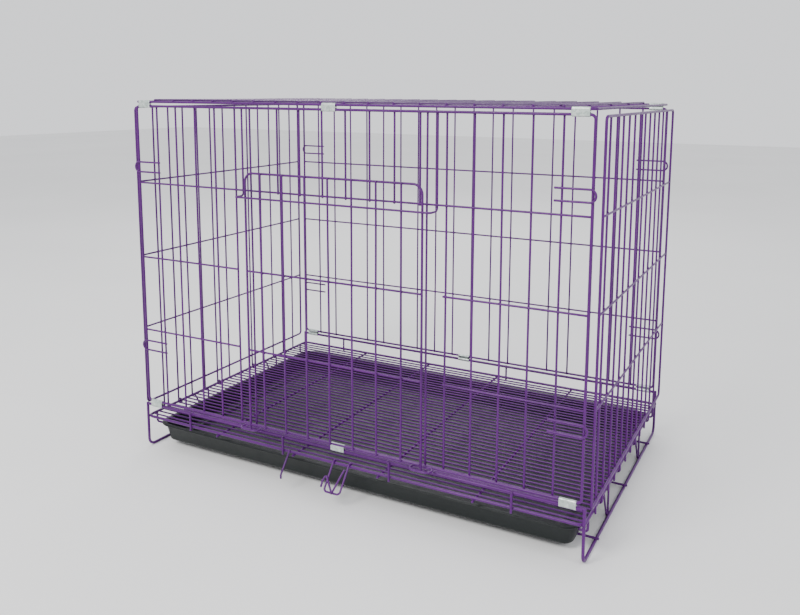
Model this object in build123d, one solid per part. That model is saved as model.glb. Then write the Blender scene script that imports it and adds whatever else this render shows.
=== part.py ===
from build123d import *
import os
from math import cos, radians, sin

# A collapsible wire dog crate. Millimetres, +X to the right, the door at -Y, +Z up,
# origin on the ground under the middle of the crate.

# ---- overall sizes (between wire centre lines) ----
crate_width = 750.0
crate_depth = 460.0
panel_height = 496.0

# ---- wire diameters ----
base_wire = 4.5
border_wire = 3.8
mesh_wire = 3.0
slat_wire = 2.8
cross_wire = 3.5
weld = 0.3  # how far welded wires sink into each other

# ---- base ----
rail_height = 55.0  # lower rails above the ground
rail_spacing = 22.0  # from the lower rail up to the upper rail
foot_bend = 12.0
ring_bend = 10.1
rail_side_gap = 4.5  # side rails stand this far outside the front panel's stiles
slats_per_upright = 3
floor_cross_count = 4
post_count = 4
post_overhang = 6.0
strut_uprights = (4, 10)  # a strut stands under these uprights of the side panel
strut_foot = 8.0  # the strut's flat length along the foot wire
foot_cross_inset = 62.0
knob = 3.0  # how far a crossing wire's end shows past the wire it is welded to

# ---- panels ----
upright_spacing = 39.5
side_upright_spacing = 34.5
row_count = 4
top_row_count = 4
knob_up = 0.9  # an upright's end, past the border wire's centre line
border_bend = 6.0
hinge_gap = 0.4  # a turned upright clears the wire that its panel's border turns beside
side_swing_gap = 0.4  # a side panel swings in between the uprights of front and back
side_tail = 21.0  # side panel's bottom border above the side rail
side_tail_end = 2.5
eye_gap = 0.15
eye_every = 3
eye_first = 2
eye_turn = 300.0
eye_shank = 8.0  # an eye's straight part above the side rail

# ---- doorway and door ----
doorway_width = 298.0
doorway_rows = 3  # the doorway is this many rows high
door_offset = 11.0  # door frame in front of the front panel
door_wire = 3.5
door_top_over = 28.0
door_bottom_rail = 6.0
door_leg_below = 5.0
door_corner = 14.0
door_row_lift = 2.5
guide_margin = 15.0
guide_drop = 8.5
guide_bend = 5.0
guide_gap = 0.4
ring_length = 33.0

# ---- snap hooks ----
hook_heights = (98.0, 398.0)  # middle of a hook above the panel's bottom border
hook_pitch = 16.0
hook_inner = 48.0  # free ends, inside the stile
hook_gap = 0.5  # the bend stops short of the side panel

# ---- sheet clips ----
clip_width = 23.0
clip_sheet = 0.8
clip_grip = 0.05  # crimped on the wire that carries it
clip_run = 0.08  # clearance round the wire that turns in it
clip_loose = 0.5
clip_shift = 5.0
clip_end_gap = 0.5  # from the border's corner bend to the end clips

# ---- tray ----
tray_side_gap = 8.5
tray_end_gap = 6.0
tray_drop = 13.7  # rim top below the lower rail's centre line
tray_rim_sheet = 2.0
tray_rim_width = 8.0
tray_depth = 32.0
tray_wall = 2.0
tray_taper = 14.0
tray_corner = 28.0
tray_rest_gap = 0.3
runner_wire = 3.5
runner_inset = 20.0
runner_bend = 4.0

# ---- tray catch and tray hook ----
catch_x = 12.0
catch_width = 27.0
catch_length = 43.0
catch_tilt = 38.0
catch_eye_gap = 0.1
catch_bend = 5.0
hook_x = -82.0
hook_length = 37.0
hook_tip = 6.0

# ---- derived sizes ----
front_y = -crate_depth / 2
back_y = crate_depth / 2
half_width = crate_width / 2
rail_x = half_width + rail_side_gap
rail_z = rail_height
upper_rail_z = rail_z + rail_spacing
mesh_r = mesh_wire / 2
border_r = border_wire / 2
base_r = base_wire / 2
upright_step = border_r + mesh_r - weld  # uprights sit against the border wires
upright_swing = upright_step + mesh_r + hinge_gap  # an upright's reach as its panel turns
hinge_step = base_r + upright_swing
top_hinge_step = border_r + upright_swing
panel_z = upper_rail_z + hinge_step
panel_top_z = panel_z + panel_height
top_z = panel_top_z + top_hinge_step
row_step = mesh_wire - weld  # rows sit against the uprights
column_count = round(crate_width / upright_spacing)
column_pitch = crate_width / column_count
row_pitch = panel_height / row_count
side_inset = upright_step + mesh_r + border_r + side_swing_gap
side_depth = crate_depth - 2 * side_inset
side_columns = round(side_depth / side_upright_spacing)
side_pitch = side_depth / side_columns
side_y0 = -side_depth / 2
eye_r = base_r + eye_gap + mesh_r
hook_outer = rail_side_gap + eye_r - 2 * mesh_r - hook_gap


def rod(start, end, diameter):
    """A straight round wire from start to end."""
    run = Vector(*end) - Vector(*start)
    return extrude(Plane(origin=start, z_dir=run) * Circle(diameter / 2), run.length)


def bent_rod(points, diameter, bend, closed=False):
    """A round wire along straight runs joined by bends."""
    path = FilletPolyline(*points, radius=bend, close=closed)
    return swept(path, diameter)


def swept(path, diameter):
    section = Plane(origin=path @ 0, z_dir=path % 0) * Circle(diameter / 2)
    return sweep(section, path=path)


def stations(count, pitch, start):
    """Inner wire places between two borders."""
    return [start + pitch * k for k in range(1, count)]


def save(name, pieces, colour):
    shapes = list(pieces) if isinstance(pieces, (list, tuple)) else [pieces]
    solids = [solid for shape in shapes for solid in shape.solids()]
    node = solids[0] if len(solids) == 1 else Compound(children=solids)
    node.label = name
    node.color = Color(*colour)
    export_step(node, os.path.join("parts", name + ".step"))


purple = (0.42, 0.26, 0.58)
zinc = (0.75, 0.79, 0.77)
black = (0.10, 0.11, 0.11)


# ---- base ----
def base_ring():
    """The lower rails: one loop whose rounded corners meet the legs."""
    corners = [
        (-rail_x, front_y, rail_z),
        (rail_x, front_y, rail_z),
        (rail_x, back_y, rail_z),
        (-rail_x, back_y, rail_z),
    ]
    return bent_rod(corners, base_wire, ring_bend, closed=True)


def foot_frame(side):
    """Two legs and the foot wire between them, one bent wire."""
    x = side * rail_x
    foot_z = base_r
    points = [
        (x, front_y, upper_rail_z + base_r),
        (x, front_y, foot_z),
        (x, back_y, foot_z),
        (x, back_y, upper_rail_z + base_r),
    ]
    return bent_rod(points, base_wire, foot_bend)


def upper_rail(y):
    """A rail between the tops of two legs, let into their sides."""
    reach = rail_x - base_r + weld
    return rod((-reach, y, upper_rail_z), (reach, y, upper_rail_z), base_wire)


def base_posts():
    posts = []
    spacing = crate_width / post_count
    for outward, y in ((-1, front_y), (1, back_y)):
        post_y = y + outward * (base_r + cross_wire / 2 - weld)
        for k in range(post_count):
            x = -half_width + spacing * (k + 0.5)
            low = (x, post_y, rail_z - post_overhang)
            high = (x, post_y, upper_rail_z + base_r / 2)
            posts.append(rod(low, high, cross_wire))
    return posts


cross_z = rail_z - base_r - cross_wire / 2 + weld
slat_z = cross_z + (cross_wire + slat_wire) / 2 - weld


def floor_cross_wires():
    reach = back_y + base_r + knob
    spacing = crate_width / (floor_cross_count + 1)
    places = stations(floor_cross_count + 1, spacing, -half_width)
    return [rod((x, -reach, cross_z), (x, reach, cross_z), cross_wire) for x in places]


def floor_slats():
    pitch = side_pitch / slats_per_upright
    reach = rail_x - base_r + weld
    slats = []
    for k in range(side_columns * slats_per_upright):
        y = side_y0 + pitch * (k + 0.5)
        slats.append(rod((-reach, y, slat_z), (reach, y, slat_z), slat_wire))
    return slats


def foot_cross_wires():
    z = base_wire + cross_wire / 2 - weld
    reach = rail_x + base_r + knob
    places = (front_y + foot_cross_inset, 0.0, back_y - foot_cross_inset)
    return [rod((-reach, y, z), (reach, y, z), cross_wire) for y in places]


def side_struts():
    """A vertical and a leaning wire, from the foot wire up to the side rail."""
    struts = []
    low = base_r
    for side in (-1, 1):
        x = side * (rail_x - base_r - mesh_r + weld)
        for k in strut_uprights:
            y = side_y0 + side_pitch * k
            points = [
                (x, y, rail_z),
                (x, y, low),
                (x, y - strut_foot, low),
                (x, y - side_pitch, rail_z),
            ]
            struts.append(bent_rod(points, mesh_wire, mesh_wire))
    return struts


runner_z = rail_z - tray_drop - tray_rim_sheet - tray_rest_gap - runner_wire / 2
tray_half_x = rail_x - tray_side_gap


def tray_runner(side):
    """A wire under the tray's rim, hung from the side rail at both ends."""
    out_x = side * rail_x
    in_x = side * (tray_half_x - tray_rim_width / 2)
    front = front_y + runner_inset
    back = back_y - runner_inset
    top = rail_z - base_r + weld
    points = [
        (out_x, front, top),
        (out_x, front, runner_z),
        (in_x, front, runner_z),
        (in_x, back, runner_z),
        (out_x, back, runner_z),
        (out_x, back, top),
    ]
    return bent_rod(points, runner_wire, runner_bend)


# ---- clips ----
def clip_profile(low_r, high_r, step):
    """The outline of sheet wrapped round two wires, one above the other."""
    low = Circle(low_r)
    high = Pos(0, step) * Circle(high_r)
    return make_hull(low.edges() + high.edges())


def clip(x, y, z, low_r, high_r, step):
    """A folded sheet clip, centred at x, with its lower wire at (y, z)."""
    outer = clip_profile(low_r + clip_sheet, high_r + clip_sheet, step)
    inner = clip_profile(low_r, high_r, step)
    place = Plane(origin=(x - clip_width / 2, y, z), x_dir=(0, 1, 0), z_dir=(1, 0, 0))
    return extrude(place * (outer - inner), clip_width)


def clip_places(shift):
    end = half_width - border_bend - clip_end_gap - clip_width / 2
    return (-end, shift, end)


def base_clips(y):
    """Crimped on the upper rail; the panel's bottom border turns in them."""
    grip = base_r - clip_grip
    run = border_r + clip_run
    return [clip(x, y, upper_rail_z, grip, run, hinge_step) for x in clip_places(clip_shift)]


def top_clips(y, clearance):
    """Crimped on the top panel; the border below turns in them."""
    grip = border_r - clip_grip
    run = border_r + clearance
    places = clip_places(-clip_shift)
    return [clip(x, y, panel_top_z, run, grip, top_hinge_step) for x in places]


# ---- front and back panels ----
def end_border(y):
    """The border of a front or back panel, one bent wire."""
    corners = [
        (-half_width, y, panel_z),
        (half_width, y, panel_z),
        (half_width, y, panel_top_z),
        (-half_width, y, panel_top_z),
    ]
    return bent_rod(corners, border_wire, border_bend, closed=True)


def end_upright(x, y, inward, low=None):
    """An upright on the inside of a front or back panel."""
    plane_y = y + inward * upright_step
    foot = panel_z - knob_up if low is None else low
    return rod((x, plane_y, foot), (x, plane_y, panel_top_z + knob_up), mesh_wire)


def row_wire(x0, x1, y, inward, z):
    plane_y = y + inward * (upright_step - row_step)
    return rod((x0, plane_y, z), (x1, plane_y, z), mesh_wire)


row_reach = half_width - border_r + weld
column_places = stations(column_count, column_pitch, -half_width)
doorway_top = panel_z + row_pitch * doorway_rows


def row_heights(count):
    return [panel_z + row_pitch * k for k in range(1, count)]


def back_grille():
    uprights = [end_upright(x, back_y, -1) for x in column_places]
    rows = [row_wire(-row_reach, row_reach, back_y, -1, z) for z in row_heights(row_count)]
    return uprights + rows


jamb_x = doorway_width / 2


def front_grille(side):
    """The wires beside the doorway; the rows end at the first upright past the jamb."""
    places = [x for x in column_places if side * x > jamb_x + guide_margin]
    row_end = min(abs(x) for x in places) - knob
    wires = [end_upright(x, front_y, 1) for x in places + [side * jamb_x]]
    for z in row_heights(doorway_rows):
        low, high = sorted((side * row_end, side * row_reach))
        wires.append(row_wire(low, high, front_y, 1, z))
    return wires


def front_grille_top():
    """The top row and the short wires above the doorway."""
    low = doorway_top - knob
    inner = [x for x in column_places if abs(x) < jamb_x - mesh_wire]
    wires = [end_upright(x, front_y, 1, low) for x in inner[1:]]
    wires.append(row_wire(-row_reach, row_reach, front_y, 1, doorway_top))
    return wires


def snap_hooks(y, outward):
    """Hairpins on the stiles that spring round the side panels' front and back wires."""
    plane_y = y + outward * (border_r + mesh_r - weld)
    hooks = []
    for side in (-1, 1):
        bend_x = side * (half_width + hook_outer)
        free_x = side * (half_width - hook_inner)
        for height in hook_heights:
            z = panel_z + height
            high = z + hook_pitch / 2
            low = z - hook_pitch / 2
            points = [
                (free_x, plane_y, high),
                (bend_x, plane_y, high),
                (bend_x, plane_y, low),
                (free_x, plane_y, low),
            ]
            hooks.append(bent_rod(points, mesh_wire, hook_pitch / 2 - 0.1))
    return hooks


# ---- door ----
door_y = front_y - door_offset
door_upright_y = door_y - (door_wire / 2 + mesh_r - weld)
door_row_y = door_upright_y + row_step
guide_y = door_upright_y - mesh_wire - guide_gap
guide_z = doorway_top - guide_drop


def door_guide():
    """One wire: down from the top border, out, across in front of the door, and back."""
    leg_x = jamb_x + guide_margin
    leg_y = front_y + upright_step
    top = panel_top_z + knob_up
    points = [
        (-leg_x, leg_y, top),
        (-leg_x, leg_y, guide_z),
        (-leg_x, guide_y, guide_z),
        (leg_x, guide_y, guide_z),
        (leg_x, leg_y, guide_z),
        (leg_x, leg_y, top),
    ]
    return bent_rod(points, mesh_wire, guide_bend)


def door_sockets():
    """Flat oval rings on the bottom border, round the feet of the door's stiles."""
    near = front_y - (border_r + mesh_r - weld)
    far = 2 * door_y - near
    sockets = []
    for side in (-1, 1):
        x0 = side * jamb_x - ring_length / 2
        x1 = side * jamb_x + ring_length / 2
        corners = [(x0, near, panel_z), (x1, near, panel_z), (x1, far, panel_z), (x0, far, panel_z)]
        sockets.append(bent_rod(corners, mesh_wire, (near - far) / 2 - 0.1, closed=True))
    return sockets


def door_frame():
    top = doorway_top + door_top_over
    foot = panel_z - door_leg_below
    points = [
        (-jamb_x, door_y, foot),
        (-jamb_x, door_y, top),
        (jamb_x, door_y, top),
        (jamb_x, door_y, foot),
    ]
    frame = bent_rod(points, door_wire, door_corner)
    reach = jamb_x - door_wire / 2 + weld
    rail_level = panel_z + door_bottom_rail
    rail = rod((-reach, door_y, rail_level), (reach, door_y, rail_level), mesh_wire)
    return [frame, rail]


def door_grille():
    top = doorway_top + door_top_over + knob_up
    low = panel_z + door_bottom_rail - knob_up
    count = round(doorway_width / column_pitch)
    first = -column_pitch * (count - 2) / 2
    wires = []
    for k in range(count - 1):
        x = first + column_pitch * k
        wires.append(rod((x, door_upright_y, low), (x, door_upright_y, top), mesh_wire))
    reach = jamb_x - door_wire / 2 + weld
    for height in row_heights(doorway_rows):
        z = height + door_row_lift
        wires.append(rod((-reach, door_row_y, z), (reach, door_row_y, z), mesh_wire))
    return wires


# ---- side panels ----
def side_border(side):
    x = side * (rail_x + eye_r + upright_step)
    y1 = side_depth / 2
    low = rail_z + side_tail
    high = panel_top_z - border_r
    corners = [(x, -y1, low), (x, y1, low), (x, y1, high), (x, -y1, high)]
    return bent_rod(corners, border_wire, border_bend, closed=True)


def side_grille(side):
    """Uprights whose tails pass the side rail, some curled round it, and rows outside."""
    x = side * (rail_x + eye_r)
    top = panel_top_z - border_r + knob_up
    wires = []
    for k, y in enumerate(stations(side_columns, side_pitch, side_y0), start=1):
        if k % eye_every == eye_first:
            wires.extend(eyed_upright(side, y, top))
        else:
            wires.append(rod((x, y, rail_z - side_tail_end), (x, y, top), mesh_wire))
    row_x = x + side * row_step
    reach = side_depth / 2 - border_r + weld
    for z in row_heights(row_count):
        wires.append(rod((row_x, -reach, z), (row_x, reach, z), mesh_wire))
    return wires


def eyed_upright(side, y, top):
    """An upright and, as a solid of its own, the eye below it round the side rail."""
    x = side * (rail_x + eye_r)
    upright = rod((x, y, rail_z + eye_shank), (x, y, top), mesh_wire)
    place = Plane(origin=(side * rail_x, y, rail_z), x_dir=(side, 0, 0), z_dir=(0, -side, 0))
    shank = Line((eye_r, eye_shank), (eye_r, 0))
    curl = CenterArc((0, 0), eye_r, 0, -eye_turn)
    return [upright, swept(place * Wire([shank, curl]), mesh_wire)]


# ---- top panel ----
def top_border():
    corners = [
        (-half_width, front_y, top_z),
        (half_width, front_y, top_z),
        (half_width, back_y, top_z),
        (-half_width, back_y, top_z),
    ]
    return bent_rod(corners, border_wire, border_bend, closed=True)


def top_grille():
    z = top_z + upright_step
    reach = back_y + knob_up
    wires = [rod((x, -reach, z), (x, reach, z), mesh_wire) for x in column_places]
    for y in stations(top_row_count, crate_depth / top_row_count, front_y):
        row_z = z - row_step
        wires.append(rod((-row_reach, y, row_z), (row_reach, y, row_z), mesh_wire))
    return wires


# ---- tray ----
def tray():
    """A shallow tapered tray with a flat rim that lies on the two runners."""
    width = 2 * tray_half_x
    depth = crate_depth - 2 * tray_end_gap
    rim_top = rail_z - tray_drop
    level = Plane.XY.offset(rim_top)
    rim = extrude(level * RectangleRounded(width, depth, tray_corner), -tray_rim_sheet)
    mouth_w = width - 2 * tray_rim_width
    mouth_d = depth - 2 * tray_rim_width
    mouth_r = tray_corner - tray_rim_width
    shell = level * RectangleRounded(mouth_w + 2 * tray_wall, mouth_d + 2 * tray_wall, mouth_r + tray_wall)
    cavity = level * RectangleRounded(mouth_w, mouth_d, mouth_r)
    body = rim + extrude(shell, -tray_depth, taper=tray_taper)
    return body - extrude(cavity, tray_wall - tray_depth, taper=tray_taper)


# ---- tray catch ----
catch_eye_r = base_r + catch_eye_gap + mesh_r
arm_y = -sin(radians(catch_tilt))
arm_z = -cos(radians(catch_tilt))


def catch_point(x, along, out=0.0):
    """A point on the catch: along its arms from the rail, and out from their plane."""
    reach = catch_eye_r + out
    y = front_y + reach * arm_z + along * arm_y
    z = rail_z - reach * arm_y + along * arm_z
    return (catch_x + x, y, z)


def tray_hook():
    """A fixed hook on the front lower rail that leans out like the catch, its tip turned down."""
    y = front_y - (base_r + mesh_r - weld) * cos(radians(catch_tilt))
    z = rail_z + (base_r + mesh_r - weld) * sin(radians(catch_tilt))
    end_y = y + hook_length * arm_y
    end_z = z + hook_length * arm_z
    points = [
        (hook_x, y - base_r * arm_y, z - base_r * arm_z),
        (hook_x, end_y, end_z),
        (hook_x, end_y, end_z - hook_tip),
    ]
    return bent_rod(points, mesh_wire, mesh_wire)


def catch_bail():
    """Two arms curled over the front lower rail and a bar across their ends."""
    half = catch_width / 2
    points = [
        catch_point(-half, 0),
        catch_point(-half, catch_length),
        catch_point(half, catch_length),
        catch_point(half, 0),
    ]
    runs = FilletPolyline(*points, radius=catch_bend)
    start_angle = -70.0
    turn = 180.0 - catch_tilt - start_angle
    arcs = []
    for x in (-half, half):
        place = Plane(origin=(catch_x + x, front_y, rail_z), x_dir=(0, 1, 0), z_dir=(1, 0, 0))
        arcs.append(place * CenterArc((0, 0), catch_eye_r, start_angle, turn))
    path = Wire([arcs[0], *runs.edges(), arcs[1]])
    return swept(path, mesh_wire)


def catch_tongue():
    """A wire welded on the bail: down to a point, up to a finger loop and over."""
    out = row_step
    half = catch_width / 2
    points = [
        catch_point(half - 3, 7, out),
        catch_point(half - 6, 19, out),
        catch_point(2, catch_length + 1, out),
        catch_point(-half - 3, 20, out),
        catch_point(-half - 6, 31, out),
        catch_point(-half - 5, 39, out),
    ]
    return bent_rod(points, mesh_wire, 2.2)


def main():
    os.makedirs("parts", exist_ok=True)
    save("base_ring", base_ring(), purple)
    save("front_upper_rail", upper_rail(front_y), purple)
    save("back_upper_rail", upper_rail(back_y), purple)
    save("base_posts", base_posts(), purple)
    save("floor_cross_wires", floor_cross_wires(), purple)
    save("floor_slats", floor_slats(), purple)
    save("foot_cross_wires", foot_cross_wires(), purple)
    save("side_struts", side_struts(), purple)
    save("tray_hook", tray_hook(), purple)
    save("front_base_clips", base_clips(front_y), zinc)
    save("back_base_clips", base_clips(back_y), zinc)
    save("front_border", end_border(front_y), purple)
    save("front_grille_top", front_grille_top(), purple)
    save("front_snap_hooks", snap_hooks(front_y, -1), purple)
    save("door_guide", door_guide(), purple)
    save("door_sockets", door_sockets(), purple)
    save("door_frame", door_frame(), purple)
    save("door_grille", door_grille(), purple)
    save("back_border", end_border(back_y), purple)
    save("back_grille", back_grille(), purple)
    save("back_snap_hooks", snap_hooks(back_y, 1), purple)
    save("top_border", top_border(), purple)
    save("top_grille", top_grille(), purple)
    save("front_top_clips", top_clips(front_y, clip_run), zinc)
    save("back_top_clips", top_clips(back_y, clip_loose), zinc)
    save("tray", tray(), black)
    save("catch_bail", catch_bail(), purple)
    save("catch_tongue", catch_tongue(), purple)
    for side, word in ((-1, "left"), (1, "right")):
        save(word + "_foot_frame", foot_frame(side), purple)
        save(word + "_tray_runner", tray_runner(side), purple)
        save(word + "_side_border", side_border(side), purple)
        save(word + "_side_grille", side_grille(side), purple)
        save("front_grille_" + word, front_grille(side), purple)


main()
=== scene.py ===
import math
import random

import bpy
from mathutils import Matrix, Vector


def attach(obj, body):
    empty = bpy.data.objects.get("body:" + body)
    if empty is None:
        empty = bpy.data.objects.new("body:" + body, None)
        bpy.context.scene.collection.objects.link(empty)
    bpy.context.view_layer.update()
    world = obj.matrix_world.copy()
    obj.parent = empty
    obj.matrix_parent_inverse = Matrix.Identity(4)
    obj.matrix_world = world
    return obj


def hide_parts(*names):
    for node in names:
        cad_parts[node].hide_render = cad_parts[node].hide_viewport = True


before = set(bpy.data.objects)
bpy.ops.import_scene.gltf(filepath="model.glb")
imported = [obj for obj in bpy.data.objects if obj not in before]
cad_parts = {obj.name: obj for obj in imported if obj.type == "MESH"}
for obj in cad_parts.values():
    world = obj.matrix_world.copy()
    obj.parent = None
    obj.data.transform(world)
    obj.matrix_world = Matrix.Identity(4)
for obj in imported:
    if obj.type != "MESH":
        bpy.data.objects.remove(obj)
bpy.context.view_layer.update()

# ---- camera, at the viewing angle that shows the front and the right side ----
lens_mm = 35.94
eye = Vector((0.62585, -1.17845, 0.60576))
view_right = Vector((0.890829, 0.454288, 0.006794))
view_down = Vector((0.070929, -0.124286, -0.989708))
view_ahead = Vector((-0.448768, 0.882143, -0.14294))

camera_data = bpy.data.cameras.new("camera")
camera_data.lens = lens_mm
camera_data.sensor_width = 36.0
camera_data.shift_x = -0.0279
camera_data.shift_y = -0.1253
camera = bpy.data.objects.new("camera", camera_data)
bpy.context.scene.collection.objects.link(camera)
turned = Matrix((view_right, -view_down, -view_ahead)).transposed().to_4x4()
camera.matrix_world = Matrix.Translation(eye) @ turned
bpy.context.scene.camera = camera

# ---- sizes in millimetres, the same as the CAD model's ----
crate_width = 750.0
crate_depth = 460.0
panel_height = 496.0

base_wire = 4.5
border_wire = 3.8
mesh_wire = 3.0
slat_wire = 2.8
cross_wire = 3.5
runner_wire = 3.5
door_wire = 3.5
weld = 0.3  # how far welded wires sink into each other

rail_z = 55.0
rail_spacing = 22.0
rail_side_gap = 4.5
ring_bend = 10.1
foot_bend = 12.0
post_count = 4
post_overhang = 6.0
floor_cross_count = 4
foot_cross_inset = 62.0
slats_per_upright = 3
strut_uprights = (4, 10)
strut_foot = 8.0

upright_spacing = 39.5
side_upright_spacing = 34.5
row_count = 4
knob = 3.0  # how far a crossing wire's end shows past the wire it is welded to
knob_up = 0.9
border_bend = 6.0
bend_margin = 0.1  # a full half-turn's bend is this much under half its width
hinge_gap = 0.4
side_swing_gap = 0.4
side_tail = 21.0
side_tail_end = 2.5
eye_gap = 0.15
eye_every = 3
eye_first = 2
eye_turn = 300.0

doorway_width = 298.0
doorway_rows = 3
door_offset = 11.0
door_top_over = 28.0
door_bottom_rail = 6.0
door_leg_below = 5.0
door_corner = 14.0
door_row_lift = 2.5
guide_margin = 15.0
guide_drop = 8.5
guide_bend = 5.0
guide_gap = 0.4
ring_length = 33.0

hook_heights = (98.0, 398.0)
hook_pitch = 16.0
hook_inner = 48.0
hook_gap = 0.5

clip_width = 23.0
clip_sheet = 0.8
clip_grip = 0.05
clip_run = 0.08
clip_loose = 0.5
clip_shift = 5.0
clip_end_gap = 0.5

tray_side_gap = 8.5
tray_end_gap = 6.0
tray_drop = 13.7
tray_rim_sheet = 2.0
tray_depth = 32.0
tray_wall = 2.0
tray_taper = 14.0
tray_corner = 28.0
tray_rest_gap = 0.3
runner_inset = 20.0
runner_bend = 4.0
runner_under_rim = 4.0  # a runner's middle, inside the rim's edge

catch_x = 12.0
catch_width = 27.0
catch_length = 43.0
catch_tilt = math.radians(38.0)
catch_eye_gap = 0.1
catch_bend = 5.0
catch_tongue_bend = 2.2
hook_x = -82.0
hook_length = 37.0
hook_tip = 6.0

# ---- derived sizes ----
half_width = crate_width / 2
front_y = -crate_depth / 2
back_y = crate_depth / 2
rail_x = half_width + rail_side_gap
upper_rail_z = rail_z + rail_spacing
base_r = base_wire / 2
border_r = border_wire / 2
mesh_r = mesh_wire / 2
door_r = door_wire / 2
upright_step = border_r + mesh_r - weld
row_step = mesh_wire - weld
upright_swing = upright_step + mesh_r + hinge_gap
hinge_step = base_r + upright_swing
top_hinge_step = border_r + upright_swing
panel_z = upper_rail_z + hinge_step
panel_top_z = panel_z + panel_height
top_z = panel_top_z + top_hinge_step
column_count = round(crate_width / upright_spacing)
column_pitch = crate_width / column_count
row_pitch = panel_height / row_count
row_reach = half_width - border_r + weld
side_inset = upright_step + mesh_r + border_r + side_swing_gap
side_depth = crate_depth - 2 * side_inset
side_columns = round(side_depth / side_upright_spacing)
side_pitch = side_depth / side_columns
side_y0 = -side_depth / 2
eye_r = base_r + eye_gap + mesh_r
hook_outer = rail_side_gap + eye_r - mesh_wire - hook_gap
jamb_x = doorway_width / 2
doorway_top = panel_z + row_pitch * doorway_rows
tray_half_x = rail_x - tray_side_gap


# ---- wires ----
class Wire:
    """A round wire: its centre line's points, radius, and straight runs for finding welds."""

    def __init__(self, path, radius, closed=False, runs=(), wavy=False):
        self.path = [Vector(p) for p in path]
        self.radius = radius
        self.closed = closed
        self.runs = [(Vector(a), Vector(b)) for a, b in runs]
        self.wavy = wavy


def rod(start, end, diameter, wavy=True):
    return Wire([start, end], diameter / 2, runs=[(start, end)], wavy=wavy)


def arc_corner(before, corner, after, bend, step=10.0):
    """Points along the bend at a corner."""
    a = (before - corner).normalized()
    b = (after - corner).normalized()
    turn = math.pi - a.angle(b)
    centre = corner + (a + b).normalized() * bend / math.cos(turn / 2)
    start = corner + a * bend * math.tan(turn / 2) - centre
    end = corner + b * bend * math.tan(turn / 2) - centre
    axis = start.cross(end).normalized()
    count = max(3, math.ceil(math.degrees(turn) / step))
    return [centre + Matrix.Rotation(turn * k / count, 3, axis) @ start for k in range(count + 1)]


def rounded(points, bend, closed=False):
    points = [Vector(p) for p in points]
    count = len(points)
    path = [] if closed else [points[0]]
    for k in range(count) if closed else range(1, count - 1):
        path += arc_corner(points[k - 1], points[k], points[(k + 1) % count], bend)
    return path if closed else path + [points[-1]]


def bent_rod(points, diameter, bend, closed=False):
    points = [Vector(p) for p in points]
    ends = points[1:] + ([points[0]] if closed else [])
    return Wire(rounded(points, bend, closed), diameter / 2, closed, list(zip(points, ends)))


def stations(count, pitch, start):
    return [start + pitch * k for k in range(1, count)]


def row_heights(count):
    return [panel_z + row_pitch * k for k in range(1, count)]


class Shell:
    """Vertices and faces of one piece, with how much of each vertex is weld."""

    def __init__(self):
        self.points, self.faces, self.welded = [], [], []

    def ring(self, points, amount=0.0):
        first = len(self.points)
        self.points += points
        self.welded += [amount] * len(points)
        return list(range(first, first + len(points)))

    def bridge(self, low, high):
        count = len(low)
        for k in range(count):
            j = (k + 1) % count
            self.faces.append((low[k], low[j], high[j], high[k]))


wave_step = 30.0
wave_limit = 0.35
wave_share = 0.0011


def waved(path, draw):
    """A straight wire that is a fraction of a millimetre off straight between its ends."""
    start, end = path
    run = end - start
    length = run.length
    count = max(2, math.ceil(length / wave_step))
    side = run.orthogonal().normalized()
    other = run.normalized().cross(side)
    size = min(wave_limit, length * wave_share)
    pulls = [(draw.uniform(-1, 1) * size / n, draw.uniform(-1, 1) * size / n, n) for n in (1, 2, 3)]
    points = []
    for k in range(count + 1):
        t = k / count
        off = sum(
            ((side * a + other * b) * math.sin(math.pi * n * t) for a, b, n in pulls), Vector()
        )
        points.append(start + run * t + off)
    return points


# a cut end's rounding: distance back from the tip and radius, as shares of the wire's radius
end_steps = ((0.42, 1.0), (0.16, 0.93), (0.03, 0.74), (0.0, 0.45))


def add_tube(shell, wire, sides, draw):
    """A round tube along a wire's centre line, its cut ends slightly rounded."""
    path = waved(wire.path, draw) if wire.wavy else wire.path
    count = len(path)
    closed = wire.closed
    tangents = []
    for k in range(count):
        before = path[k - 1] if closed or k else path[0]
        after = path[(k + 1) % count] if closed or k < count - 1 else path[-1]
        tangents.append((after - before).normalized())
    across = tangents[0].orthogonal().normalized()
    rings = []

    def ring_at(centre, tangent, radius):
        up = tangent.cross(across)
        return shell.ring([
            centre + (across * math.cos(a) + up * math.sin(a)) * radius
            for a in (2 * math.pi * s / sides for s in range(sides))
        ])

    if not closed:
        for back, share in reversed(end_steps):
            centre = path[0] + tangents[0] * back * wire.radius
            rings.append(ring_at(centre, tangents[0], wire.radius * share))
    for k in range(count) if closed else range(1, count - 1):
        across = (across - tangents[k] * across.dot(tangents[k])).normalized()
        rings.append(ring_at(path[k], tangents[k], wire.radius))
    if not closed:
        across = (across - tangents[-1] * across.dot(tangents[-1])).normalized()
        for back, share in end_steps:
            centre = path[-1] - tangents[-1] * back * wire.radius
            rings.append(ring_at(centre, tangents[-1], wire.radius * share))
    for low, high in zip(rings, rings[1:]):
        shell.bridge(low, high)
    if closed:
        first = [shell.points[v] for v in rings[0]]
        last = [shell.points[v] for v in rings[-1]]

        def twist(turn):
            return sum((last[k] - first[(k + turn) % sides]).length for k in range(sides))

        turn = min(range(sides), key=twist)
        shell.bridge(rings[-1], rings[0][turn:] + rings[0][:turn])
    else:
        shell.faces.append(tuple(reversed(rings[0])))
        shell.faces.append(tuple(rings[-1]))


parallel_limit = 0.03  # below this share, two runs count as parallel


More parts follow.
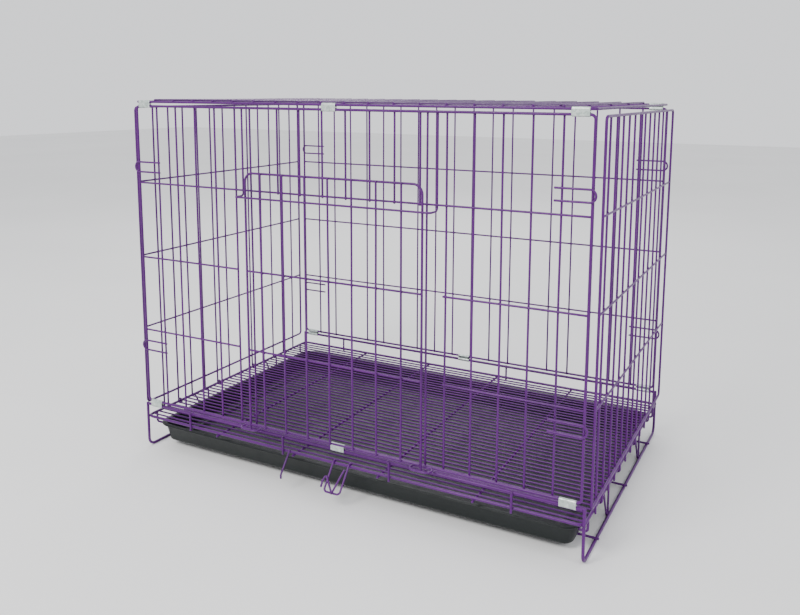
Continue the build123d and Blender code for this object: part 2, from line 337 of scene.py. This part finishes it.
def nearest(run, other):
    """The closest points of two straight runs, or None where they are nearly parallel."""
    p, q = run
    r, s = other
    u, v, w = q - p, s - r, p - r
    a, b, c = u.dot(u), u.dot(v), v.dot(v)
    below = a * c - b * b
    if below < parallel_limit * a * c:
        return None
    d, e = u.dot(w), v.dot(w)
    t = min(1.0, max(0.0, (b * e - c * d) / below))
    m = min(1.0, max(0.0, (b * t + e) / c))
    t = min(1.0, max(0.0, (b * m - d) / a))
    return p + u * t, r + v * m


nugget_shift = 0.12
nugget_reach = (1.22, 1.42)  # along the crevice and across it, in radii of the thinner wire
nugget_thickness = (0.62, 0.85)
nugget_lobe = 0.09


def add_nugget(shell, one, two, run, other, radius, draw):
    """The metal and coat that fill the crevice where two crossing wires are welded."""
    u = (run[1] - run[0]).normalized()
    v = (other[1] - other[0]).normalized()
    normal = u.cross(v).normalized()
    u, v = (u + v).normalized(), (u - v).normalized()
    shift = u * draw.uniform(-1, 1) + v * draw.uniform(-1, 1)
    centre = (one + two) / 2 + shift * nugget_shift
    wide = radius * draw.uniform(*nugget_reach)
    long = radius * draw.uniform(*nugget_reach)
    thick = radius * draw.uniform(*nugget_thickness)
    sides, rows = 12, 5
    rings = []
    for row in range(rows):
        lift = -math.pi / 2 + math.pi * (row + 0.5) / rows
        points = []
        for k in range(sides):
            angle = 2 * math.pi * k / sides
            reach = math.cos(lift) * (1 + nugget_lobe * math.cos(4 * angle))
            flat = u * wide * reach * math.cos(angle) + v * long * reach * math.sin(angle)
            points.append(centre + flat + normal * thick * math.sin(lift))
        rings.append(shell.ring(points, 1.0))
    for low, high in zip(rings, rings[1:]):
        shell.bridge(low, high)
    shell.faces.append(tuple(reversed(rings[0])))
    shell.faces.append(tuple(rings[-1]))


weld_least = 0.05  # wires that sink in by less than this are not welded


def add_welds(shell, wires, others, draw):
    """Nuggets where these wires meet each other and the others."""
    pairs = [(a, b) for k, a in enumerate(wires) for b in wires[k + 1:]]
    pairs += [(a, b) for a in wires for b in others]
    for a, b in pairs:
        for run in a.runs:
            for other in b.runs:
                found = nearest(run, other)
                if not found or (found[0] - found[1]).length > a.radius + b.radius - weld_least:
                    continue
                add_nugget(shell, *found, run, other, min(a.radius, b.radius), draw)


metres = 0.001  # metres in a millimetre
materials = {}
made = {}  # each finished node's wires, for the welds of later nodes


def finished(name, shell, body, slot_name, *nodes):
    """A piece from a shell in millimetres, on its body and in place of its CAD nodes."""
    mesh = bpy.data.meshes.new(name)
    mesh.from_pydata([p * metres for p in shell.points], [], shell.faces)
    mesh.validate()
    mesh.update()
    mark = mesh.attributes.new("weld", "FLOAT", "POINT")
    mark.data.foreach_set("value", shell.welded)
    mesh.polygons.foreach_set("use_smooth", [True] * len(mesh.polygons))
    piece = bpy.data.objects.new(name, mesh)
    bpy.context.scene.collection.objects.link(piece)
    mesh.materials.append(materials[slot_name])
    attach(piece, body)
    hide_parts(*nodes)
    return piece


def wires_piece(node, body, wires, welded_to=(), sides=12):
    """One CAD node's wires, with the welds between them and to earlier nodes."""
    draw = random.Random("wires " + node)
    shell = Shell()
    for wire in wires:
        add_tube(shell, wire, sides, draw)
    others = [wire for name in welded_to for wire in made[name]]
    add_welds(shell, wires, others, draw)
    made[node] = wires
    return finished(node + "_look", shell, body, "powder_coat", node)


# ---- materials ----
def new_material(name):
    material = bpy.data.materials.new(name)
    material.use_nodes = True
    tree = material.node_tree
    shader = tree.nodes["Principled BSDF"]
    where = tree.nodes.new("ShaderNodeTexCoord").outputs["Object"]
    return material, tree, shader, where


def noise(tree, where, scale, detail=3.0, rough=0.55):
    node = tree.nodes.new("ShaderNodeTexNoise")
    node.inputs["Scale"].default_value = scale
    node.inputs["Detail"].default_value = detail
    node.inputs["Roughness"].default_value = rough
    tree.links.new(where, node.inputs["Vector"])
    return node.outputs["Fac"]


def ramp(tree, value, stops):
    node = tree.nodes.new("ShaderNodeValToRGB")
    marks = node.color_ramp.elements
    while len(marks) < len(stops):
        marks.new(0.5)
    for mark, (place, colour) in zip(marks, stops):
        mark.position = place
        mark.color = (*colour, 1.0) if len(colour) == 3 else colour
    tree.links.new(value, node.inputs["Fac"])
    return node.outputs["Color"]


def mixed(tree, amount, one, two):
    node = tree.nodes.new("ShaderNodeMix")
    node.data_type = "RGBA"
    for name, value in (("Factor", amount), ("A", one), ("B", two)):
        if isinstance(value, bpy.types.NodeSocket):
            tree.links.new(value, node.inputs[name])
        else:
            node.inputs[name].default_value = value
    return node.outputs["Result"]


def spread(tree, value, low, high, to_low, to_high):
    node = tree.nodes.new("ShaderNodeMapRange")
    tree.links.new(value, node.inputs["Value"])
    for name, number in (("From Min", low), ("From Max", high), ("To Min", to_low), ("To Max", to_high)):
        node.inputs[name].default_value = number
    return node.outputs["Result"]


def bump(tree, shader, height, strength, distance, under=None):
    node = tree.nodes.new("ShaderNodeBump")
    node.inputs["Strength"].default_value = strength
    node.inputs["Distance"].default_value = distance
    tree.links.new(height, node.inputs["Height"])
    if under:
        tree.links.new(under, node.inputs["Normal"])
    tree.links.new(node.outputs["Normal"], shader.inputs["Normal"])
    return node.outputs["Normal"]


def upward(tree):
    """How far a surface faces up, from 0 to 1."""
    normal = tree.nodes.new("ShaderNodeNewGeometry").outputs["Normal"]
    split = tree.nodes.new("ShaderNodeSeparateXYZ")
    tree.links.new(normal, split.inputs[0])
    return split.outputs["Z"]


def powder_coat():
    """Purple paint: broad shade, orange peel, darker welds, a little dust on top."""
    material, tree, shader, where = new_material("powder_coat")
    broad = ramp(tree, noise(tree, where, 7.0, 2.0), (
        (0.30, (0.062, 0.0042, 0.104)),
        (0.55, (0.077, 0.0058, 0.127)),
        (0.80, (0.096, 0.0082, 0.150)),
    ))
    fine = noise(tree, where, 160.0, 4.0)
    colour = mixed(tree, spread(tree, fine, 0.42, 0.75, 0.0, 0.30), broad, (0.047, 0.003, 0.081, 1))
    weld_mark = tree.nodes.new("ShaderNodeAttribute")
    weld_mark.attribute_name = "weld"
    weld_amount = spread(tree, weld_mark.outputs["Fac"], 0, 1, 0.0, 0.42)
    colour = mixed(tree, weld_amount, colour, (0.032, 0.003, 0.053, 1))
    dust = noise(tree, where, 38.0, 5.0)
    dust_where = tree.nodes.new("ShaderNodeMath")
    dust_where.operation = "MULTIPLY"
    tree.links.new(spread(tree, dust, 0.45, 0.75, 0.0, 0.07), dust_where.inputs[0])
    tree.links.new(spread(tree, upward(tree), 0.3, 1.0, 0.0, 1.0), dust_where.inputs[1])
    colour = mixed(tree, dust_where.outputs[0], colour, (0.30, 0.24, 0.34, 1))
    tree.links.new(colour, shader.inputs["Base Color"])
    tree.links.new(spread(tree, fine, 0.3, 0.7, 0.27, 0.43), shader.inputs["Roughness"])
    peel = bump(tree, shader, noise(tree, where, 720.0, 2.0), 0.22, 0.0002)
    bump(tree, shader, fine, 0.10, 0.0006, peel)
    shader.inputs["Coat Weight"].default_value = 0.05
    shader.inputs["Specular IOR Level"].default_value = 0.26
    shader.inputs["Coat Roughness"].default_value = 0.16
    return material


def zinc_clip():
    """Galvanised sheet: spangle, fine rolling lines, dull stains."""
    material, tree, shader, where = new_material("zinc_clip")
    cells = tree.nodes.new("ShaderNodeTexVoronoi")
    cells.inputs["Scale"].default_value = 260.0
    tree.links.new(where, cells.inputs["Vector"])
    bright = tree.nodes.new("ShaderNodeSeparateColor")
    tree.links.new(cells.outputs["Color"], bright.inputs[0])
    spangle = ramp(tree, bright.outputs[0], (
        (0.0, (0.40, 0.47, 0.44)),
        (0.5, (0.50, 0.57, 0.54)),
        (1.0, (0.62, 0.67, 0.64)),
    ))
    stain = noise(tree, where, 120.0, 5.0)
    colour = mixed(tree, spread(tree, stain, 0.5, 0.75, 0.0, 0.45), spangle, (0.26, 0.31, 0.28, 1))
    tree.links.new(colour, shader.inputs["Base Color"])
    shader.inputs["Metallic"].default_value = 0.72
    stretch = tree.nodes.new("ShaderNodeMapping")
    stretch.inputs["Scale"].default_value = (0.08, 1.0, 1.0)
    tree.links.new(where, stretch.inputs["Vector"])
    lines = noise(tree, stretch.outputs["Vector"], 1500.0, 3.0)
    tree.links.new(spread(tree, stain, 0.3, 0.7, 0.30, 0.50), shader.inputs["Roughness"])
    under = bump(tree, shader, lines, 0.20, 0.0001)
    bump(tree, shader, stain, 0.12, 0.0006, under)
    return material


def tray_plastic():
    """Dark moulded plastic with a fine grain and faint dust."""
    material, tree, shader, where = new_material("tray_plastic")
    broad = ramp(tree, noise(tree, where, 5.0, 3.0), (
        (0.3, (0.0042, 0.0066, 0.0068)),
        (0.55, (0.0060, 0.0088, 0.0090)),
        (0.8, (0.0082, 0.0114, 0.0116)),
    ))
    dust = noise(tree, where, 60.0, 6.0, 0.65)
    dust_where = tree.nodes.new("ShaderNodeMath")
    dust_where.operation = "MULTIPLY"
    tree.links.new(spread(tree, dust, 0.48, 0.80, 0.0, 0.012), dust_where.inputs[0])
    tree.links.new(spread(tree, upward(tree), -0.1, 1.0, 0.25, 1.0), dust_where.inputs[1])
    colour = mixed(tree, dust_where.outputs[0], broad, (0.36, 0.36, 0.34, 1))
    tree.links.new(colour, shader.inputs["Base Color"])
    tree.links.new(spread(tree, dust, 0.3, 0.75, 0.30, 0.48), shader.inputs["Roughness"])
    shader.inputs["Specular IOR Level"].default_value = 0.28
    grain = tree.nodes.new("ShaderNodeTexVoronoi")
    grain.inputs["Scale"].default_value = 1100.0
    tree.links.new(where, grain.inputs["Vector"])
    under = bump(tree, shader, grain.outputs["Distance"], 0.16, 0.0002)
    bump(tree, shader, noise(tree, where, 22.0, 2.0), 0.12, 0.002, under)
    return material


materials["powder_coat"] = powder_coat()
materials["zinc_clip"] = zinc_clip()
materials["tray_plastic"] = tray_plastic()


# ---- base ----
ring_corners = [
    (-rail_x, front_y, rail_z),
    (rail_x, front_y, rail_z),
    (rail_x, back_y, rail_z),
    (-rail_x, back_y, rail_z),
]
base_ring = bent_rod(ring_corners, base_wire, ring_bend, closed=True)
wires_piece("base_ring", "base", [base_ring], sides=16)

for side, word in ((-1, "left"), (1, "right")):
    x = side * rail_x
    foot_frame = bent_rod([
        (x, front_y, upper_rail_z + base_r),
        (x, front_y, base_r),
        (x, back_y, base_r),
        (x, back_y, upper_rail_z + base_r),
    ], base_wire, foot_bend)
    wires_piece(word + "_foot_frame", "base", [foot_frame], ["base_ring"], sides=16)

foot_frames = ["left_foot_frame", "right_foot_frame"]
rail_reach = rail_x - base_r + weld
for word, y in (("front", front_y), ("back", back_y)):
    rail = rod((-rail_reach, y, upper_rail_z), (rail_reach, y, upper_rail_z), base_wire, wavy=False)
    wires_piece(word + "_upper_rail", "base", [rail], foot_frames, sides=16)

posts = []
post_low = rail_z - post_overhang
post_high = upper_rail_z + base_r / 2
for outward, y in ((-1, front_y), (1, back_y)):
    post_y = y + outward * (base_r + cross_wire / 2 - weld)
    for k in range(post_count):
        x = -half_width + crate_width / post_count * (k + 0.5)
        posts.append(rod((x, post_y, post_low), (x, post_y, post_high), cross_wire, wavy=False))
wires_piece("base_posts", "base", posts, ["base_ring", "front_upper_rail", "back_upper_rail"])

cross_z = rail_z - base_r - cross_wire / 2 + weld
slat_z = cross_z + (cross_wire + slat_wire) / 2 - weld
reach = back_y + base_r + knob
cross_count = floor_cross_count + 1
wires_piece("floor_cross_wires", "base", [
    rod((x, -reach, cross_z), (x, reach, cross_z), cross_wire, wavy=False)
    for x in stations(cross_count, crate_width / cross_count, -half_width)
], ["base_ring"])
slat_count = side_columns * slats_per_upright
slat_pitch = side_pitch / slats_per_upright
wires_piece("floor_slats", "base", [
    rod((-rail_reach, y, slat_z), (rail_reach, y, slat_z), slat_wire)
    for y in (side_y0 + slat_pitch * (k + 0.5) for k in range(slat_count))
], ["base_ring", "floor_cross_wires"], sides=10)

foot_cross_z = base_wire + cross_wire / 2 - weld
reach = rail_x + base_r + knob
wires_piece("foot_cross_wires", "base", [
    rod((-reach, y, foot_cross_z), (reach, y, foot_cross_z), cross_wire, wavy=False)
    for y in (front_y + foot_cross_inset, 0.0, back_y - foot_cross_inset)
], foot_frames)

struts = []
for side in (-1, 1):
    x = side * (rail_x - base_r - mesh_r + weld)
    for k in strut_uprights:
        y = side_y0 + side_pitch * k
        struts.append(bent_rod([
            (x, y, rail_z),
            (x, y, base_r),
            (x, y - strut_foot, base_r),
            (x, y - side_pitch, rail_z),
        ], mesh_wire, mesh_wire))
wires_piece("side_struts", "base", struts, ["base_ring"] + foot_frames)

runner_z = rail_z - tray_drop - tray_rim_sheet - tray_rest_gap - runner_wire / 2
runner_front = front_y + runner_inset
runner_back = back_y - runner_inset
runner_top = rail_z - base_r + weld
for side, word in ((-1, "left"), (1, "right")):
    out_x = side * rail_x
    in_x = side * (tray_half_x - runner_under_rim)
    runner = bent_rod([
        (out_x, runner_front, runner_top),
        (out_x, runner_front, runner_z),
        (in_x, runner_front, runner_z),
        (in_x, runner_back, runner_z),
        (out_x, runner_back, runner_z),
        (out_x, runner_back, runner_top),
    ], runner_wire, runner_bend)
    wires_piece(word + "_tray_runner", "base", [runner], ["base_ring"])

down_y = -math.sin(catch_tilt)  # the way that the catch and the tray hook lean
down_z = -math.cos(catch_tilt)
hook_y = front_y + (base_r + mesh_r - weld) * down_z
hook_z = rail_z - (base_r + mesh_r - weld) * down_y
hook_end_y = hook_y + hook_length * down_y
hook_end_z = hook_z + hook_length * down_z
wires_piece("tray_hook", "base", [bent_rod([
    (hook_x, hook_y - base_r * down_y, hook_z - base_r * down_z),
    (hook_x, hook_end_y, hook_end_z),
    (hook_x, hook_end_y, hook_end_z - hook_tip),
], mesh_wire, mesh_wire)], ["base_ring"])


# ---- front and back panels ----
def end_border(y):
    return bent_rod([
        (-half_width, y, panel_z),
        (half_width, y, panel_z),
        (half_width, y, panel_top_z),
        (-half_width, y, panel_top_z),
    ], border_wire, border_bend, closed=True)


def end_upright(x, y, inward, low=panel_z - knob_up):
    plane_y = y + inward * upright_step
    return rod((x, plane_y, low), (x, plane_y, panel_top_z + knob_up), mesh_wire)


def row_wire(x0, x1, y, inward, z):
    plane_y = y + inward * (upright_step - row_step)
    return rod((x0, plane_y, z), (x1, plane_y, z), mesh_wire)


column_places = stations(column_count, column_pitch, -half_width)
wires_piece("front_border", "front_panel", [end_border(front_y)], sides=16)
inner = [x for x in column_places if abs(x) < jamb_x - mesh_wire]
wires = [end_upright(x, front_y, 1, doorway_top - knob) for x in inner[1:]]
wires.append(row_wire(-row_reach, row_reach, front_y, 1, doorway_top))
wires_piece("front_grille_top", "front_panel", wires, ["front_border"])
for side, word in ((-1, "left"), (1, "right")):
    places = [x for x in column_places if side * x > jamb_x + guide_margin]
    row_end = min(abs(x) for x in places) - knob
    wires = [end_upright(x, front_y, 1) for x in places + [side * jamb_x]]
    low, high = sorted((side * row_end, side * row_reach))
    wires += [row_wire(low, high, front_y, 1, z) for z in row_heights(doorway_rows)]
    wires_piece("front_grille_" + word, "front_panel", wires, ["front_border", "front_grille_top"])

wires_piece("back_border", "back_panel", [end_border(back_y)], sides=16)
wires = [end_upright(x, back_y, -1) for x in column_places]
wires += [row_wire(-row_reach, row_reach, back_y, -1, z) for z in row_heights(row_count)]
wires_piece("back_grille", "back_panel", wires, ["back_border"])

for word, y, outward in (("front", front_y, -1), ("back", back_y, 1)):
    plane_y = y + outward * (border_r + mesh_r - weld)
    hooks = []
    for side in (-1, 1):
        bend_x = side * (half_width + hook_outer)
        free_x = side * (half_width - hook_inner)
        for height in hook_heights:
            high = panel_z + height + hook_pitch / 2
            low = panel_z + height - hook_pitch / 2
            hooks.append(bent_rod([
                (free_x, plane_y, high),
                (bend_x, plane_y, high),
                (bend_x, plane_y, low),
                (free_x, plane_y, low),
            ], mesh_wire, hook_pitch / 2 - bend_margin))
    wires_piece(word + "_snap_hooks", word + "_panel", hooks, [word + "_border"])

# ---- door ----
door_y = front_y - door_offset
door_upright_y = door_y - (door_r + mesh_r - weld)
door_row_y = door_upright_y + row_step
guide_y = door_upright_y - mesh_wire - guide_gap
guide_z = doorway_top - guide_drop
leg_x = jamb_x + guide_margin
leg_y = front_y + upright_step
leg_top = panel_top_z + knob_up
wires_piece("door_guide", "front_panel", [bent_rod([
    (-leg_x, leg_y, leg_top),
    (-leg_x, leg_y, guide_z),
    (-leg_x, guide_y, guide_z),
    (leg_x, guide_y, guide_z),
    (leg_x, leg_y, guide_z),
    (leg_x, leg_y, leg_top),
], mesh_wire, guide_bend)], ["front_border", "front_grille_top"])

near = front_y - (border_r + mesh_r - weld)
far = 2 * door_y - near
sockets = []
for side in (-1, 1):
    x0 = side * jamb_x - ring_length / 2
    x1 = side * jamb_x + ring_length / 2
    sockets.append(bent_rod(
        [(x0, near, panel_z), (x1, near, panel_z), (x1, far, panel_z), (x0, far, panel_z)],
        mesh_wire, (near - far) / 2 - bend_margin, closed=True,
    ))
wires_piece("door_sockets", "front_panel", sockets, ["front_border"])

door_top = doorway_top + door_top_over
door_foot = panel_z - door_leg_below
door_rail_z = panel_z + door_bottom_rail
door_reach = jamb_x - door_r + weld
frame_bend = bent_rod([
    (-jamb_x, door_y, door_foot),
    (-jamb_x, door_y, door_top),
    (jamb_x, door_y, door_top),
    (jamb_x, door_y, door_foot),
], door_wire, door_corner)
bottom_rail = rod(
    (-door_reach, door_y, door_rail_z), (door_reach, door_y, door_rail_z), mesh_wire, wavy=False
)
wires_piece("door_frame", "door", [frame_bend, bottom_rail], sides=16)
door_columns = round(doorway_width / column_pitch)
first_x = -column_pitch * (door_columns - 2) / 2
low, high = door_rail_z - knob_up, door_top + knob_up
door_wires = [
    rod((x, door_upright_y, low), (x, door_upright_y, high), mesh_wire)
    for x in (first_x + column_pitch * k for k in range(door_columns - 1))
]
door_wires += [
    rod((-door_reach, door_row_y, z), (door_reach, door_row_y, z), mesh_wire)
    for z in (height + door_row_lift for height in row_heights(doorway_rows))
]
wires_piece("door_grille", "door", door_wires, ["door_frame"])


# ---- side panels ----
def eyed_upright(side, x, y, top):
    """An upright whose foot is curled round the side rail."""
    steps = 30
    curl = [math.radians(-eye_turn * s / steps) for s in range(steps + 1)]
    path = [(x, y, top)]
    path += [(side * (rail_x + eye_r * math.cos(a)), y, rail_z + eye_r * math.sin(a)) for a in curl]
    return Wire(path, mesh_r, runs=[(path[0], path[1])])


side_low = rail_z + side_tail
side_high = panel_top_z - border_r
half = side_depth / 2
for side, word in ((-1, "left"), (1, "right")):
    body = word + "_side_panel"
    x = side * (rail_x + eye_r + upright_step)
    wires_piece(word + "_side_border", body, [bent_rod(
        [(x, -half, side_low), (x, half, side_low), (x, half, side_high), (x, -half, side_high)],
        border_wire, border_bend, closed=True,
    )], sides=16)
    x = side * (rail_x + eye_r)
    top = side_high + knob_up
    wires = []
    for k, y in enumerate(stations(side_columns, side_pitch, side_y0), start=1):
        if k % eye_every == eye_first:
            wires.append(eyed_upright(side, x, y, top))
        else:
            wires.append(rod((x, y, rail_z - side_tail_end), (x, y, top), mesh_wire))
    row_x = x + side * row_step
    reach = half - border_r + weld
    wires += [rod((row_x, -reach, z), (row_x, reach, z), mesh_wire) for z in row_heights(row_count)]
    wires_piece(word + "_side_grille", body, wires, [word + "_side_border"])

# ---- top panel ----
top_corners = [
    (-half_width, front_y, top_z),
    (half_width, front_y, top_z),
    (half_width, back_y, top_z),
    (-half_width, back_y, top_z),
]
top_border = bent_rod(top_corners, border_wire, border_bend, closed=True)
wires_piece("top_border", "top_panel", [top_border], sides=16)
z = top_z + upright_step
reach = back_y + knob_up
wires = [rod((x, -reach, z), (x, reach, z), mesh_wire) for x in column_places]
wires += [
    rod((-row_reach, y, z - row_step), (row_reach, y, z - row_step), mesh_wire)
    for y in stations(row_count, crate_depth / row_count, front_y)
]
wires_piece("top_grille", "top_panel", wires, ["top_border"])

# ---- tray catch ----
catch_half = catch_width / 2
catch_eye_r = base_r + catch_eye_gap + mesh_r


def catch_point(x, along, out=0.0):
    """A point on the catch: along its arms from the rail, and out from their plane."""
    reach = catch_eye_r + out
    y = front_y + reach * down_z + along * down_y
    return Vector((catch_x + x, y, rail_z - reach * down_y + along * down_z))


def catch_eye(x):
    """An arm's curl over the front rail, up to where the arm starts."""
    start, turn, steps = -70.0, 212.0, 22
    angles = [math.radians(start + turn * s / steps) for s in range(steps)]
    return [
        Vector((catch_x + x, front_y + catch_eye_r * math.cos(a), rail_z + catch_eye_r * math.sin(a)))
        for a in angles
    ]


bail_corners = [
    catch_point(-catch_half, 0),
    catch_point(-catch_half, catch_length),
    catch_point(catch_half, catch_length),
    catch_point(catch_half, 0),
]
bail_path = catch_eye(-catch_half) + rounded(bail_corners, catch_bend) + catch_eye(catch_half)[::-1]
bail = Wire(bail_path, mesh_r, runs=list(zip(bail_corners, bail_corners[1:])))
wires_piece("catch_bail", "tray_catch", [bail])
wires_piece("catch_tongue", "tray_catch", [bent_rod([
    catch_point(catch_half - 3, 7, row_step),
    catch_point(catch_half - 6, 19, row_step),
    catch_point(2, catch_length + 1, row_step),
    catch_point(-catch_half - 3, 20, row_step),
    catch_point(-catch_half - 6, 31, row_step),
    catch_point(-catch_half - 5, 39, row_step),
], mesh_wire, catch_tongue_bend)], ["catch_bail"])


# ---- sheet clips ----
seam_gap = 0.7  # between the sheet's two ends
edge_span = 0.06  # the part of half the width over which a cut edge is rounded
edge_round = 0.22
dent_depth = 0.05
dent_reach = 0.9
waist = 0.93  # how far the sheet is pinched between the two wires
wire_zone = 0.4
clip_stations = (-1.0, -0.985, -0.95, -0.8, -0.45, 0.0, 0.45, 0.8, 0.95, 0.985, 1.0)
clip_end = half_width - border_bend - clip_end_gap - clip_width / 2


def clip_outline(low_r, high_r, step, count=18):
    """The sheet's inner line round both wires, from seam to seam: (y, z) and the outward way."""
    quarter = [math.radians(90.0 * k / count) for k in range(count + 1)]
    arcs = [(low_r, 0.0, -a) for a in reversed(quarter)] + [(high_r, step, a) for a in quarter]
    front = [(r * math.cos(a), z + r * math.sin(a), math.cos(a), math.sin(a)) for r, z, a in arcs]
    behind = [(-y, z, -u, v) for y, z, u, v in reversed(front)]
    behind_high, behind_low = behind[:count + 1], behind[count + 1:]
    start = (-low_r, (step - seam_gap) / 2, -1.0, 0.0)
    end = (-high_r, (step + seam_gap) / 2, -1.0, 0.0)
    return [start] + behind_low + front + behind_high + [end]


def add_clip(shell, x, y, z, radii, step, inward, draw):
    """Folded sheet round two wires: rounded cut edges, a pinched waist, the seam inside."""
    outline = clip_outline(*radii, step)
    phase = draw.uniform(0, 6.28)
    rings = []
    for t in clip_stations:
        edge = max(0.0, (abs(t) - 1 + edge_span) / edge_span)
        round_off = edge_round * edge * edge
        thin = round_off / 2
        along = x + t * clip_width / 2
        outer, inside = [], []
        for py, pz, u, v in outline:
            dent = dent_depth * math.sin(5 * t + phase + pz) if abs(t) < dent_reach else 0.0
            grow = clip_sheet - round_off + dent
            pinch = 1.0 if abs(pz - step / 2) > step / 2 - wire_zone else waist
            outer.append(Vector((along, y - inward * (py + u * grow) * pinch, z + pz + v * grow)))
            inside.append(Vector((along, y - inward * (py + u * thin), z + pz + v * thin)))
        ring = outer + inside[::-1]
        rings.append(shell.ring(ring if inward > 0 else ring[::-1]))
    for low, high in zip(rings, rings[1:]):
        shell.bridge(low, high)
    for ring, flip in ((rings[0], True), (rings[-1], False)):
        half_count = len(ring) // 2
        for k in range(half_count - 1):
            face = (ring[k], ring[k + 1], ring[-k - 2], ring[-k - 1])
            shell.faces.append(tuple(reversed(face)) if flip else face)


def clips_piece(node, body, y, z, radii, step, shift):
    """The three clips along one edge."""
    draw = random.Random("clips " + node)
    shell = Shell()
    inward = 1 if y < 0 else -1
    for x in (-clip_end, shift, clip_end):
        add_clip(shell, x, y, z, radii, step, inward, draw)
    finished(node + "_look", shell, body, "zinc_clip", node)


base_radii = (base_r - clip_grip, border_r + clip_run)
front_top_radii = (border_r + clip_run, border_r - clip_grip)
back_top_radii = (border_r + clip_loose, border_r - clip_grip)
clips_piece("front_base_clips", "base", front_y, upper_rail_z, base_radii, hinge_step, clip_shift)
clips_piece("back_base_clips", "base", back_y, upper_rail_z, base_radii, hinge_step, clip_shift)
clips_piece(
    "front_top_clips", "top_panel", front_y, panel_top_z, front_top_radii, top_hinge_step, -clip_shift
)
clips_piece(
    "back_top_clips", "top_panel", back_y, panel_top_z, back_top_radii, top_hinge_step, -clip_shift
)


# ---- tray ----
rim_outside = (  # from the rim's top, over its rounded edge, to the wall: inset and depth
    (1.2, 0.05), (0.35, 0.35), (0.0, 1.0), (0.35, 1.7), (1.2, 1.98), (4.9, 2.0), (5.9, 2.25), (6.5, 3.2),
)
rim_inside = ((8.5, 3.0), (7.9, 0.9), (7.0, 0.15), (6.0, 0.0))
outer_wall_inset = 6.0
inner_wall_inset = 8.0
foot_height = 5.5
foot_sweep = math.radians(76.0)
foot_steps = 5
outer_foot = (5.6, foot_height)  # the foot's rounding, inward and down
inner_foot = (4.6, foot_height - tray_wall)
floor_ridge = ((14.0, 0.0), (17.0, 0.8), (26.0, 0.8), (29.0, 0.0))  # inset from the foot, height
least_corner = 6.0
floor_corner = 8.0


def rounded_loop(half_x, half_y, corner, z, per_corner=10):
    """A level rectangle with rounded corners."""
    points = []
    for cx, cy, first in ((1, 1, 0), (-1, 1, 90), (-1, -1, 180), (1, -1, 270)):
        for k in range(per_corner + 1):
            a = math.radians(first + 90.0 * k / per_corner)
            x = cx * (half_x - corner) + corner * math.cos(a)
            y = cy * (half_y - corner) + corner * math.sin(a)
            points.append(Vector((x, y, z)))
    return points


def foot_curve(inset, wall_low, size, k):
    """A point of the rounded foot of a wall."""
    a = foot_sweep * k / foot_steps
    inward, down = size
    return inset + inward * (1 - math.cos(a)), wall_low - down * math.sin(a) / math.sin(foot_sweep)


def tray_shell():
    """A moulded shell: rounded rim, drafted walls, rounded foot, and a floor with a low ridge."""
    top = rail_z - tray_drop
    bottom = top - tray_depth
    rim_x = tray_half_x
    rim_y = back_y - tray_end_gap
    wall_low = bottom + foot_height
    draft = (top - wall_low) * math.tan(math.radians(tray_taper))
    outer = outer_wall_inset + draft
    inner = inner_wall_inset + draft
    outside = [(inset, top - depth) for inset, depth in rim_outside] + [(outer, wall_low)]
    outside += [foot_curve(outer, wall_low, outer_foot, k) for k in range(1, foot_steps + 1)]
    inside = [foot_curve(inner, wall_low, inner_foot, k) for k in range(foot_steps, 0, -1)]
    inside += [(inner, wall_low)] + [(inset, top - depth) for inset, depth in rim_inside]
    shell = Shell()
    rings = []
    for inset, z in outside + inside:
        corner = max(least_corner, tray_corner - inset)
        rings.append(shell.ring(rounded_loop(rim_x - inset, rim_y - inset, corner, z)))
    for low, high in zip(rings, rings[1:]):
        shell.bridge(high, low)
    shell.bridge(rings[0], rings[-1])
    foot_inset = inside[0][0]
    step_rings = [rings[len(outside)]]
    for extra, lift in floor_ridge:
        inset = foot_inset + extra
        loop = rounded_loop(rim_x - inset, rim_y - inset, floor_corner, bottom + tray_wall + lift)
        step_rings.append(shell.ring(loop))
    for low, high in zip(step_rings, step_rings[1:]):
        shell.bridge(low, high)
    shell.faces.append(tuple(step_rings[-1]))
    shell.faces.append(tuple(reversed(rings[len(outside) - 1])))
    return shell


finished("tray_look", tray_shell(), "tray", "tray_plastic", "tray")

# ---- floor and light ----
stage_mesh = bpy.data.meshes.new("studio_floor")
floor_half = 9.0
floor_corners = [(x * floor_half, y * floor_half, 0) for x, y in ((-1, -1), (1, -1), (1, 1), (-1, 1))]
stage_mesh.from_pydata(floor_corners, [], [(0, 1, 2, 3)])
floor = bpy.data.objects.new("studio_floor", stage_mesh)
bpy.context.scene.collection.objects.link(floor)
floor_material, tree, shader, where = new_material("studio_floor")
floor_tones = ((0.3, (0.80, 0.80, 0.795)), (0.7, (0.83, 0.83, 0.825)))
tone = ramp(tree, noise(tree, where, 1.3, 2.0), floor_tones)
tree.links.new(tone, shader.inputs["Base Color"])
shader.inputs["Roughness"].default_value = 0.75
stage_mesh.materials.append(floor_material)

world = bpy.data.worlds.new("studio")
world.use_nodes = True
background = world.node_tree.nodes["Background"]
background.inputs["Color"].default_value = (0.96, 0.97, 1.0, 1.0)
background.inputs["Strength"].default_value = 1.25
bpy.context.scene.world = world


crate_middle = Vector((0, 0, 0.3))


def area_light(name, place, width, power, colour=(1, 1, 1)):
    """A round soft light that faces the crate."""
    data = bpy.data.lights.new(name, "AREA")
    data.shape = "DISK"
    data.size = width
    data.energy = power
    data.color = colour
    light = bpy.data.objects.new(name, data)
    bpy.context.scene.collection.objects.link(light)
    light.location = place
    light.rotation_euler = (crate_middle - Vector(place)).to_track_quat("-Z", "Y").to_euler()


area_light("key", (-0.6, -2.2, 2.1), 1.0, 60.0, (1.0, 0.985, 0.96))
area_light("fill", (2.4, -1.0, 1.5), 1.2, 16.0, (0.97, 0.98, 1.0))
area_light("back", (-1.2, 2.2, 2.0), 1.2, 18.0)
